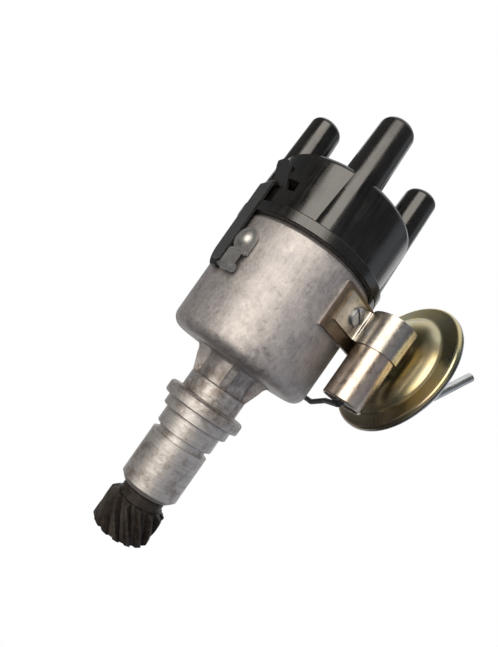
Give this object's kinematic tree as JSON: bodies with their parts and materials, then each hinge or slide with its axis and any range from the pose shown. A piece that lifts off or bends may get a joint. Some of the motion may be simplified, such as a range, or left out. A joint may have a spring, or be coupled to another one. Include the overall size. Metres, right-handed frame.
{
  "type": "ignition distributor",
  "caption": "Ignition distributor with a cylindrical cast bowl, black towered cap, geared shank, clip-on condenser and side vacuum capsule.",
  "frame": {"origin": "on the shaft's axis, in the plane of the flange's underside", "axes": "+Z along the shaft towards the cap; -Y is the side the picture shows; +X points to the vacuum capsule's side"},
  "size_m": [0.1371, 0.075, 0.205],
  "materials": {
    "cast_alloy": "weathered die casting with machined bands",
    "bronze": "sintered, satin",
    "steel": "ground",
    "gear_steel": "oiled dark steel",
    "fibre": "pressed fibre",
    "sintered_steel": "sintered, dull",
    "spring_steel": "drawn wire or strip",
    "cam_steel": "hardened and polished",
    "felt": "oiled felt",
    "rotor_resin": "moulded",
    "brass": "satin",
    "zinc_plate": "dull zinc plate",
    "tungsten": "ground",
    "cap_resin": "moulded, glossy",
    "carbon": "pressed carbon",
    "clip_black": "blackened spring steel",
    "gold_zinc": "yellowed zinc plate",
    "chromate_zinc": "yellow chromate over zinc",
    "silver_zinc": "bright zinc plate",
    "rubber": "coated cloth",
    "black_seal": "moulded",
    "black_lead": "sleeved wire"
  },
  "bodies": {
    "body": {"housing": "cast_alloy", "lower_bush": "bronze", "upper_bush": "bronze", "thrust_washer": "steel", "carrier_washer": "fibre", "breaker_base": "zinc_plate", "base_screws": "zinc_plate", "distributor_cap": "cap_resin", "side_electrodes": "brass", "centre_electrode": "brass", "brush_spring": "spring_steel", "clip_pins": "zinc_plate", "clip_brackets": "zinc_plate", "clip_rivets": "zinc_plate", "capsule_bracket": "gold_zinc", "capsule_shell": "chromate_zinc", "capsule_cover": "silver_zinc", "diaphragm": "rubber", "diaphragm_spring": "spring_steel", "vacuum_pipe": "silver_zinc", "condenser_can": "gold_zinc", "condenser_seal": "black_seal", "condenser_strap": "gold_zinc", "condenser_screw": "zinc_plate", "condenser_lead": "black_lead", "lead_tag": "brass", "lt_insulator": "black_seal", "lt_stud": "zinc_plate", "lt_nut": "zinc_plate"},
    "shaft": {"main_shaft": "steel", "drive_gear": "gear_steel", "gear_pin": "gear_steel", "weight_carrier": "steel", "weight_posts": "steel", "spring_posts": "steel", "cam_screw": "steel", "advance_springs": "spring_steel"},
    "weight_a": {"advance_weight_a": "sintered_steel"},
    "weight_b": {"advance_weight_b": "sintered_steel"},
    "cam_and_rotor": {"cam": "cam_steel", "felt_wick": "felt", "rotor_arm": "rotor_resin", "rotor_blade": "brass"},
    "breaker": {"breaker_plate": "zinc_plate", "breaker_circlip": "spring_steel", "fixed_contact": "zinc_plate", "fixed_tip": "tungsten", "points_screw": "zinc_plate", "breaker_spring": "spring_steel"},
    "points_arm": {"breaker_arm": "zinc_plate", "moving_tip": "tungsten", "breaker_heel": "fibre"},
    "vacuum_pull": {"vacuum_rod": "steel", "diaphragm_cups": "zinc_plate"},
    "brush": {"carbon_brush": "carbon"},
    "left_clip": {"clip_left": "clip_black"},
    "right_clip": {"clip_right": "clip_black"}
  },
  "joints": [
    {"name": "shaft_spin", "type": "hinge", "parent": "body", "child": "shaft", "pos_m": [0, 0, 0], "axis": [0, 0, -1], "continuous": true},
    {"name": "weight_a_swing", "type": "hinge", "parent": "shaft", "child": "weight_a", "pos_m": [0, 0.015, 0.037], "axis": [0, 0, -1], "range_deg": [0, 12], "deforming": ["advance_springs"]},
    {"name": "weight_b_swing", "type": "hinge", "parent": "shaft", "child": "weight_b", "pos_m": [0, -0.015, 0.037], "axis": [0, 0, -1], "range_deg": [0, 12]},
    {"name": "cam_advance", "type": "hinge", "parent": "shaft", "child": "cam_and_rotor", "pos_m": [0, 0, 0.06], "axis": [0, 0, -1], "range_deg": [0, 6.7]},
    {"name": "vacuum_plate", "type": "hinge", "parent": "body", "child": "breaker", "pos_m": [0, 0, 0.06], "axis": [0, 0, 1], "range_deg": [0, 10]},
    {"name": "rod_pull", "type": "slide", "parent": "body", "child": "vacuum_pull", "axis": [0.9494, 0.314, 0], "range_m": [0, 0.00405], "deforming": ["diaphragm", "diaphragm_spring"]},
    {"name": "points_open", "type": "hinge", "parent": "breaker", "child": "points_arm", "pos_m": [-0.017, 0.014, 0.071], "axis": [0, 0, -1], "range_deg": [0, 5], "stiffness_Nm_per_rad": 0.002, "springref_deg": -11.46, "deforming": ["breaker_spring"]},
    {"name": "brush_slide", "type": "slide", "parent": "body", "child": "brush", "axis": [0, 0, 1], "range_m": [0, 0.0015], "stiffness_N_per_m": 5, "springref_m": -0.002, "deforming": ["brush_spring"]},
    {"name": "left_clip_swing", "type": "hinge", "parent": "body", "child": "left_clip", "pos_m": [-0.02831, -0.02375, 0.0554], "axis": [0.6428, -0.766, 0], "range_deg": [0, 60]},
    {"name": "right_clip_swing", "type": "hinge", "parent": "body", "child": "right_clip", "pos_m": [0.02831, 0.02375, 0.0554], "axis": [-0.6428, 0.766, 0], "range_deg": [0, 40]}
  ],
  "couplings": [
    {"joint": "weight_b_swing", "follows": "weight_a_swing", "ratio": 1},
    {"joint": "cam_advance", "follows": "weight_a_swing", "ratio": 0.5525},
    {"joint": "vacuum_plate", "follows": "rod_pull", "rad_per_m": 43.059}
  ]
}
